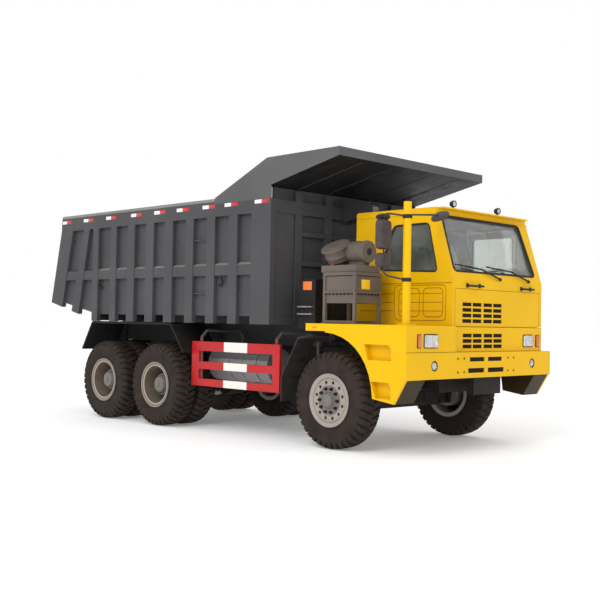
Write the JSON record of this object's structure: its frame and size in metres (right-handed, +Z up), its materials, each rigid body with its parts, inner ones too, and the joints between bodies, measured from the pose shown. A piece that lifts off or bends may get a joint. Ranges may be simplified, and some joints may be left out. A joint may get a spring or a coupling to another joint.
{
  "type": "mining dump truck",
  "caption": "Rigid off-road mining dump truck: offset cab, ribbed steel tipping bed with cab canopy, twin rear bogie wheels, stepped front decks and a front telescopic hoist.",
  "frame": {"origin": "on the ground, under the middle of the truck's length and width", "axes": "+Z up, +Y towards the tail (the truck faces -Y), +X towards the driver's side, which is the truck's left"},
  "size_m": [3.82, 8.601, 4.145],
  "materials": {
    "yellow_paint": "semi-gloss chrome yellow enamel",
    "grey_paint": "satin dark grey enamel",
    "chassis_paint": "satin black enamel, dusty",
    "wheel_paint": "satin warm light grey",
    "red_paint": "semi-gloss red enamel with a white band",
    "filter_paint": "matt warm grey enamel",
    "mirror_plastic": "moulded dark grey plastic",
    "tyre_rubber": "dusty treaded rubber",
    "black_rubber": "matt black rubber",
    "trim_plastic": "grained grey plastic",
    "seat_cloth": "pale woven seat cover",
    "glass": "clear tinted glass",
    "steel_tube": "silver-grey enamel"
  },
  "bodies": {
    "chassis": {"air_cleaner": "filter_paint", "air_cleaner_stand": "filter_paint", "air_tank_right": "steel_tube", "bumper": "yellow_paint", "cab_roof": "yellow_paint", "cab_shell": "yellow_paint", "chassis_frame": "chassis_paint", "dashboard": "trim_plastic", "deck_left": "yellow_paint", "deck_right": "yellow_paint", "engine_and_driveline": "chassis_paint", "front_axle": "chassis_paint", "front_fascia": "yellow_paint", "front_mudguard_left": "black_rubber", "front_mudguard_right": "black_rubber", "fuel_tank_left": "chassis_paint", "hydraulic_tank": "chassis_paint", "mirror_pole_right": "mirror_plastic", "rear_bogie": "chassis_paint", "rear_mudguard_left": "chassis_paint", "rear_mudguard_right": "chassis_paint", "rear_window": "glass", "seat": "seat_cloth", "seat_base": "trim_plastic", "side_guard_left": "red_paint", "side_guard_right": "red_paint", "side_window_right": "glass", "windshield": "glass"},
    "knuckle_right": {"knuckle_right": "chassis_paint"},
    "knuckle_left": {"knuckle_left": "chassis_paint"},
    "tie_rod": {"tie_rod": "chassis_paint"},
    "front_wheel_right": {"front_tyre_right": "tyre_rubber", "front_rim_right": "wheel_paint"},
    "front_wheel_left": {"front_tyre_left": "tyre_rubber", "front_rim_left": "wheel_paint"},
    "middle_wheel_right": {"middle_tyres_right": "tyre_rubber", "middle_rims_right": "wheel_paint"},
    "middle_wheel_left": {"middle_tyres_left": "tyre_rubber", "middle_rims_left": "wheel_paint"},
    "rear_wheel_right": {"rear_tyres_right": "tyre_rubber", "rear_rims_right": "wheel_paint"},
    "rear_wheel_left": {"rear_tyres_left": "tyre_rubber", "rear_rims_left": "wheel_paint"},
    "bed": {"bed_floor": "grey_paint", "bed_front_wall": "grey_paint", "bed_side_left": "grey_paint", "bed_side_right": "grey_paint", "canopy": "grey_paint"},
    "door_left": {"door_left": "yellow_paint", "door_window_left": "glass", "mirror_left": "mirror_plastic"},
    "front_flap": {"front_flap": "yellow_paint"},
    "hoist_barrel": {"hoist_barrel": "chassis_paint"},
    "hoist_stage_1": {"hoist_stage_1": "steel_tube"},
    "hoist_stage_2": {"hoist_stage_2": "steel_tube"},
    "hoist_rod": {"hoist_rod": "steel_tube"}
  },
  "joints": [
    {"name": "steer", "type": "hinge", "parent": "chassis", "child": "knuckle_right", "pos_m": [-1, -2.8045, 0.675], "axis": [0, 0, 1], "range_deg": [-30, 30]},
    {"name": "steer_left", "type": "hinge", "parent": "chassis", "child": "knuckle_left", "pos_m": [1, -2.8045, 0.675], "axis": [0, 0, 1], "range_deg": [-30, 30]},
    {"name": "tie_rod_pivot", "type": "hinge", "parent": "knuckle_right", "child": "tie_rod", "pos_m": [-1, -2.5445, 0.605], "axis": [0, 0, 1], "range_deg": [-30, 30]},
    {"name": "front_wheel_right_spin", "type": "hinge", "parent": "knuckle_right", "child": "front_wheel_right", "pos_m": [0, -2.8045, 0.675], "axis": [1, 0, 0], "continuous": true},
    {"name": "front_wheel_left_spin", "type": "hinge", "parent": "knuckle_left", "child": "front_wheel_left", "pos_m": [0, -2.8045, 0.675], "axis": [1, 0, 0], "continuous": true},
    {"name": "middle_wheel_right_spin", "type": "hinge", "parent": "chassis", "child": "middle_wheel_right", "pos_m": [0, 0.9955, 0.675], "axis": [1, 0, 0], "continuous": true},
    {"name": "middle_wheel_left_spin", "type": "hinge", "parent": "chassis", "child": "middle_wheel_left", "pos_m": [0, 0.9955, 0.675], "axis": [1, 0, 0], "continuous": true},
    {"name": "rear_wheel_right_spin", "type": "hinge", "parent": "chassis", "child": "rear_wheel_right", "pos_m": [0, 2.4955, 0.675], "axis": [1, 0, 0], "continuous": true},
    {"name": "rear_wheel_left_spin", "type": "hinge", "parent": "chassis", "child": "rear_wheel_left", "pos_m": [0, 2.4955, 0.675], "axis": [1, 0, 0], "continuous": true},
    {"name": "bed_tip", "type": "hinge", "parent": "chassis", "child": "bed", "pos_m": [0, 3.3955, 1.27], "axis": [-1, 0, 0], "range_deg": [0, 45]},
    {"name": "hoist_swing", "type": "hinge", "parent": "chassis", "child": "hoist_barrel", "pos_m": [0, -2.3045, 1.3], "axis": [-1, 0, 0], "range_deg": [0, 28.51]},
    {"name": "hoist_extend_1", "type": "slide", "parent": "hoist_barrel", "child": "hoist_stage_1", "axis": [0, 0.0454, 0.999], "range_m": [0, 1.4108]},
    {"name": "hoist_extend_2", "type": "slide", "parent": "hoist_stage_1", "child": "hoist_stage_2", "axis": [0, 0.0454, 0.999], "range_m": [0, 1.4108]},
    {"name": "hoist_extend_3", "type": "slide", "parent": "hoist_stage_2", "child": "hoist_rod", "axis": [0, 0.0454, 0.999], "range_m": [0, 1.4108]},
    {"name": "door_swing", "type": "hinge", "parent": "chassis", "child": "door_left", "pos_m": [1.57, -3.8548, 2.5], "axis": [0, 0, -1], "range_deg": [0, 70]},
    {"name": "flap_lift", "type": "hinge", "parent": "chassis", "child": "front_flap", "pos_m": [0.45, -4.2245, 2.2373], "axis": [-1, 0, 0], "range_deg": [0, 75]}
  ],
  "couplings": [
    {"joint": "steer_left", "follows": "steer", "ratio": 1},
    {"joint": "tie_rod_pivot", "follows": "steer", "ratio": -1},
    {"joint": "hoist_swing", "follows": "bed_tip", "ratio": 0.63247},
    {"joint": "hoist_extend_1", "follows": "bed_tip", "m_per_rad": 1.7937},
    {"joint": "hoist_extend_2", "follows": "bed_tip", "m_per_rad": 1.7937},
    {"joint": "hoist_extend_3", "follows": "bed_tip", "m_per_rad": 1.7937}
  ]
}
